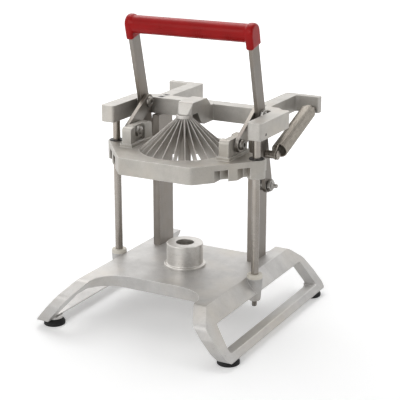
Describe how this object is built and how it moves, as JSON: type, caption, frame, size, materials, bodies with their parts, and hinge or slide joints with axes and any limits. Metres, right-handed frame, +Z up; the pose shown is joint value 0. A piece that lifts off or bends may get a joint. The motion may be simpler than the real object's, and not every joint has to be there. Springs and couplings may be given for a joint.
{
  "type": "lever operated petal cutter",
  "caption": "Hand lever press whose ring of thin radial blades slides down two guide rods over food stood on a cored cup, cutting it into joined petals.",
  "frame": {"origin": "middle of the footprint in the plane that the four rubber feet stand on; the guide rods and the blade axis lie in the plane 13.25 mm in front of it", "axes": "+X to the right seen from the operator's side, +Y to the rear, away from the operator, +Z up along the guide rods"},
  "size_m": [0.2708, 0.3056, 0.3722],
  "materials": {
    "cast": "fine cast surface, lightly brushed",
    "bar": "drawn flat bar, satin",
    "rod": "ground and polished",
    "fastener": "plated",
    "blade": "ground thin sheet",
    "spring": "hard drawn wire",
    "grip": "dipped vinyl, glossy",
    "foot": "moulded, matt",
    "bush": "moulded, satin",
    "bumper": "moulded, satin"
  },
  "bodies": {
    "frame": {"base_casting": "cast", "core_cup": "cast", "cup_screw": "fastener", "foot_front_left": "foot", "foot_front_right": "foot", "foot_rear_left": "foot", "foot_rear_right": "foot", "foot_screws": "fastener", "column_left": "bar", "column_right": "bar", "column_base_screws": "fastener", "column_top_screws": "fastener", "guide_rod_left": "rod", "guide_rod_right": "rod", "rod_nuts": "fastener", "bumper_left": "bumper", "bumper_right": "bumper", "yoke_casting": "cast", "rod_set_screws": "fastener", "spring_anchor": "fastener", "pivot_bolts": "fastener", "pivot_spacers": "fastener", "pivot_nuts": "fastener", "return_spring": "spring"},
    "handle": {"handle_arm_left": "bar", "handle_arm_right": "bar", "handle_bar": "bar", "handle_grip": "grip", "spring_post": "fastener", "link_stub_screws": "fastener"},
    "carriage": {"carriage_casting": "cast", "bush_left": "bush", "bush_right": "bush", "blade_ring": "blade", "blades": "blade", "core_tube": "blade", "blade_cap": "blade", "link_low_bolts": "fastener", "link_low_nuts": "fastener"},
    "link_left": {"link_left": "bar", "link_pin_left": "fastener"},
    "link_right": {"link_right": "bar", "link_pin_right": "fastener"}
  },
  "joints": [
    {"name": "handle_swing", "type": "hinge", "parent": "frame", "child": "handle", "pos_m": [0, 0.05175, 0.162], "axis": [1, 0, 0], "range_deg": [0, 83], "stiffness_Nm_per_rad": 1.5, "springref_deg": -74.48, "deforming": ["return_spring"]},
    {"name": "carriage_slide", "type": "slide", "parent": "frame", "child": "carriage", "axis": [0, 0, -1], "range_m": [0, 0.123]},
    {"name": "link_left_turn", "type": "hinge", "parent": "carriage", "child": "link_left", "pos_m": [0, -0.01625, 0.229], "axis": [1, 0, 0], "range_deg": [0, 91.9]},
    {"name": "link_right_turn", "type": "hinge", "parent": "carriage", "child": "link_right", "pos_m": [0, -0.01625, 0.229], "axis": [1, 0, 0], "range_deg": [0, 91.9]}
  ],
  "couplings": [
    {"joint": "carriage_slide", "follows": "handle_swing", "m_per_rad": 0.084701},
    {"joint": "link_left_turn", "follows": "handle_swing", "ratio": 1.1007},
    {"joint": "link_right_turn", "follows": "handle_swing", "ratio": 1.1007}
  ]
}
